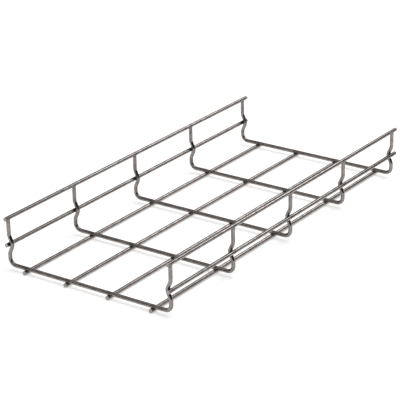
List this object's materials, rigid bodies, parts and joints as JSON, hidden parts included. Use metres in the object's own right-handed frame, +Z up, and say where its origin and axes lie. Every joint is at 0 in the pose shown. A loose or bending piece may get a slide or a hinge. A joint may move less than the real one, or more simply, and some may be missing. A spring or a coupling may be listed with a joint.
{
  "type": "wire mesh cable basket",
  "caption": "Straight U-shaped length of wire mesh cable basket: bent cross wires with a kink in each side, straight floor, side and rim wires welded to them.",
  "frame": {"origin": "middle of the basket in plan, on the surface that the floor wires lie on", "axes": "+Y along the basket and its straight wires, +X across it, +Z up out of its open top"},
  "size_m": [0.195, 0.412, 0.055],
  "materials": {
    "zinc_steel": "zinc plated, satin, warm grey"
  },
  "bodies": {
    "root": {"cross_wire_1": "zinc_steel", "cross_wire_2": "zinc_steel", "cross_wire_3": "zinc_steel", "cross_wire_4": "zinc_steel", "cross_wire_5": "zinc_steel", "floor_wire_1": "zinc_steel", "floor_wire_2": "zinc_steel", "floor_wire_3": "zinc_steel", "floor_wire_4": "zinc_steel", "side_wire_left": "zinc_steel", "side_wire_right": "zinc_steel", "rim_wire_left": "zinc_steel", "rim_wire_right": "zinc_steel"}
  },
  "joints": []
}
